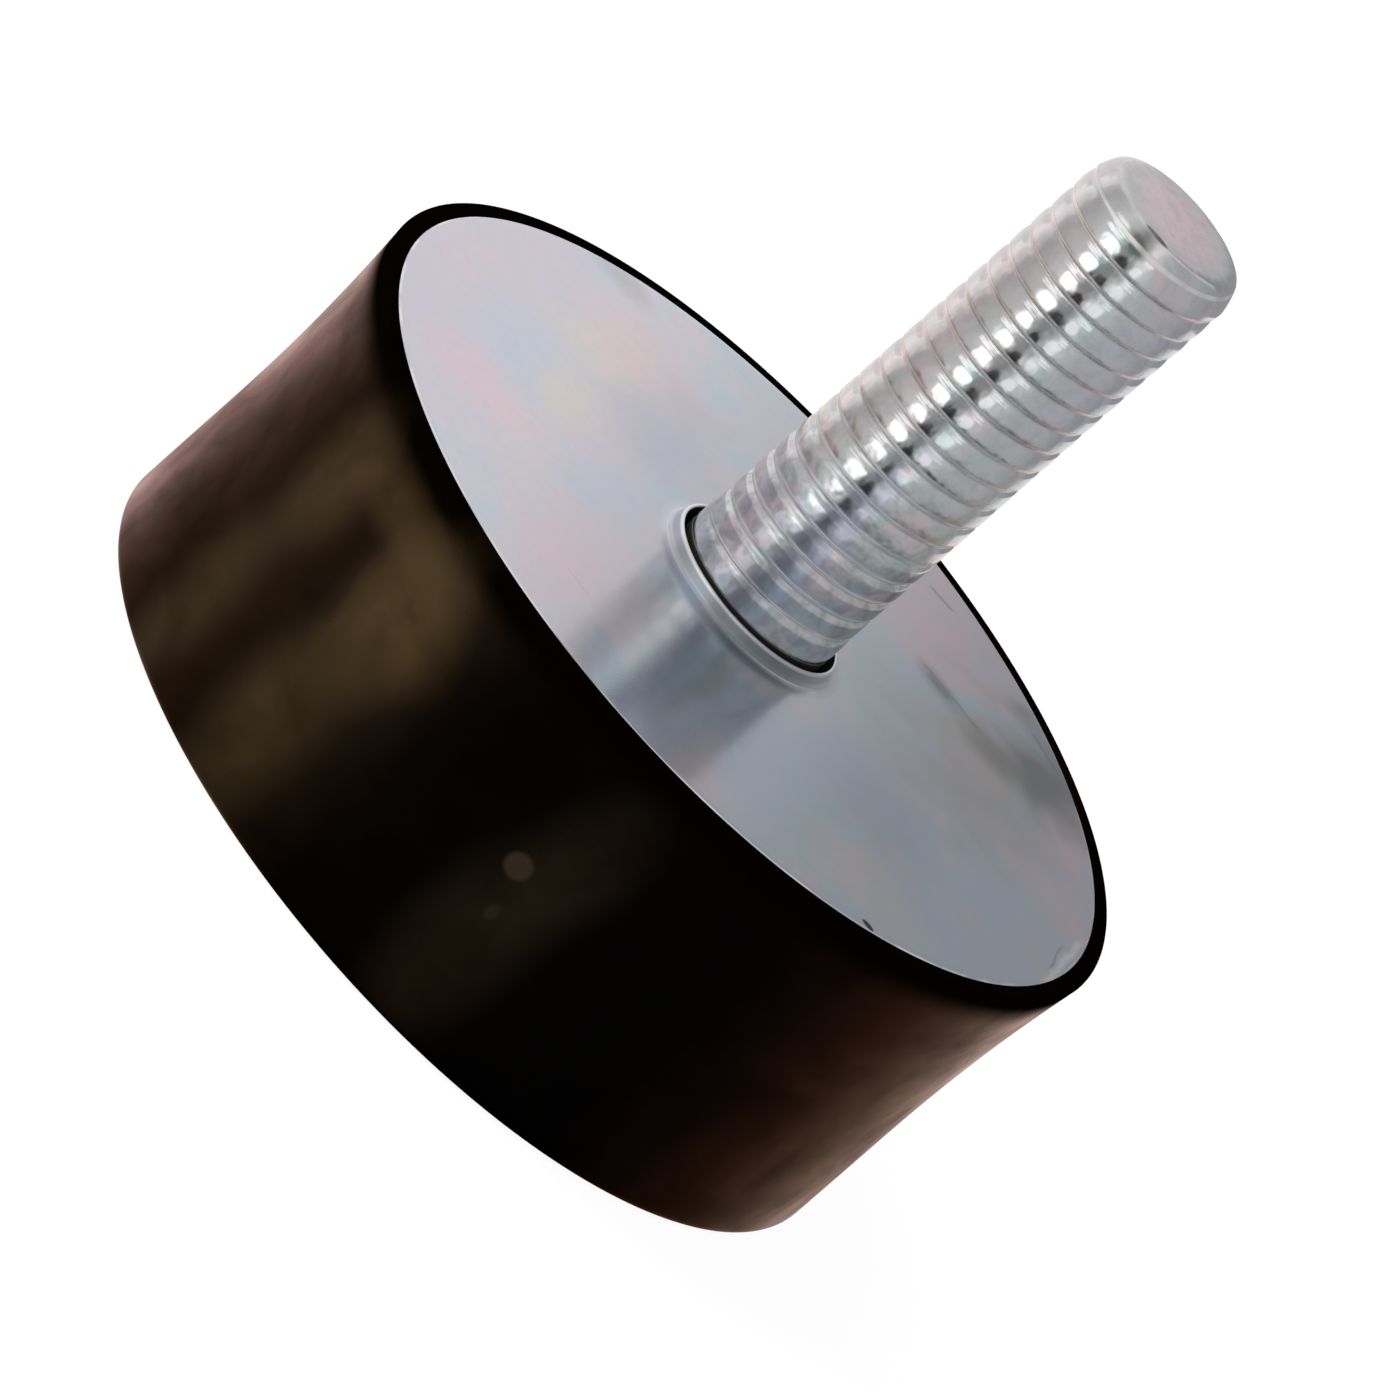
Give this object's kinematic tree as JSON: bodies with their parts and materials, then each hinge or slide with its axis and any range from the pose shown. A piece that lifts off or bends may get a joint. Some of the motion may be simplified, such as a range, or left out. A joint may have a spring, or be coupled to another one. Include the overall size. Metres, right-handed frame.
{
  "type": "anti-vibration mount",
  "caption": "Round rubber anti-vibration mount: a steel disc bonded flush in its flared end, a threaded stud standing from the disc, and a plain rubber foot.",
  "frame": {"origin": "centre of the rubber's plain lower face, which the mount stands on", "axes": "+Z along the mount's axis, from the rubber foot towards the tip of the stud; X and Y are free, since the mount is round, and X runs through two corners of the hidden hexagon head"},
  "size_m": [0.051, 0.051, 0.0504],
  "materials": {
    "black_rubber": "satin",
    "zinc_disc": "satin",
    "zinc_bolt": "satin"
  },
  "bodies": {
    "root": {"rubber_body": "black_rubber", "top_plate": "zinc_disc", "stud_bolt": "zinc_bolt"}
  },
  "joints": []
}
